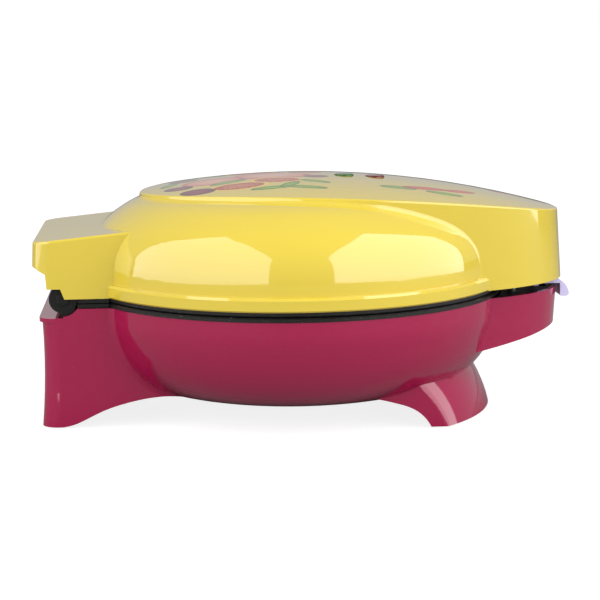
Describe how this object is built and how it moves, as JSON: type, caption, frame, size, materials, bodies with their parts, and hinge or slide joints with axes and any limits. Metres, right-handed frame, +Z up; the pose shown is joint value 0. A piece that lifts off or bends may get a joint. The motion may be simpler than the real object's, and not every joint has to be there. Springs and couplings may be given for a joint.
{
  "type": "waffle cone maker",
  "caption": "Round hinged electric waffle cone maker: domed lid, bowl base on a rear leg and arc foot, gridded plates and a front thumb latch.",
  "frame": {"origin": "below the middle of the whole object, on the surface that it stands on", "axes": "+X from the hinge to the handles, +Y to the left of a user who faces the handles from behind, +Z up; the XZ plane is the symmetry plane"},
  "size_m": [0.2918, 0.23, 0.1266],
  "materials": {
    "lid_plastic": "high gloss moulded yellow plastic with a printed crown",
    "base_plastic": "high gloss moulded magenta pink plastic",
    "dark_plastic": "satin black heat-resistant plastic",
    "pad_rubber": "matt black rubber",
    "ivory_plastic": "ivory terminal plastic",
    "plate_coating": "black non-stick coating on cast aluminium",
    "element_sheath": "heat-tinted steel sheath",
    "sheet_steel": "plated sheet steel",
    "shield_metal": "aluminised sheet",
    "thermostat_body": "ceramic and metal can",
    "wire_sleeve": "woven glass sleeve over silicone wire",
    "screw_steel": "zinc-plated steel",
    "latch_plastic": "translucent lilac plastic",
    "lens_green": "translucent green lens",
    "lens_red": "translucent dark red lens",
    "lamp_glass": "neon lamp glass",
    "lamp_board_plastic": "fibre strip"
  },
  "bodies": {
    "base": {"base_shell": "base_plastic", "rear_cover": "dark_plastic", "foot_pads": "pad_rubber", "cord_inlet": "pad_rubber", "terminal_block": "ivory_plastic", "lower_plate": "plate_coating", "lower_heater": "element_sheath", "lower_element_clips": "sheet_steel", "lower_heat_shield": "shield_metal", "thermostat": "thermostat_body", "thermal_fuse": "sheet_steel", "base_wires": "wire_sleeve", "base_hinge_bracket": "dark_plastic", "hinge_pin": "screw_steel", "base_handle_deck": "dark_plastic", "base_screws": "screw_steel"},
    "lid": {"lid_shell": "lid_plastic", "upper_plate": "plate_coating", "upper_heater": "element_sheath", "upper_element_clips": "sheet_steel", "upper_heat_shield": "shield_metal", "lid_handle_deck": "dark_plastic", "lid_hinge_bracket": "dark_plastic", "lens_ready": "lens_green", "lens_power": "lens_red", "indicator_lamps": "lamp_glass", "lamp_board": "lamp_board_plastic", "lid_wires": "wire_sleeve", "latch_pin": "screw_steel", "latch_spring": "screw_steel", "lid_screws": "screw_steel"},
    "latch": {"latch": "latch_plastic"}
  },
  "joints": [
    {"name": "lid_hinge", "type": "hinge", "parent": "base", "child": "lid", "pos_m": [-0.1309, 0, 0.0683], "axis": [0, -1, 0], "range_deg": [0, 90]},
    {"name": "latch_pivot", "type": "hinge", "parent": "lid", "child": "latch", "pos_m": [0.1276, 0, 0.0968], "axis": [0, -1, 0], "range_deg": [0, 5], "stiffness_Nm_per_rad": 0.3, "springref_deg": -2.86}
  ]
}
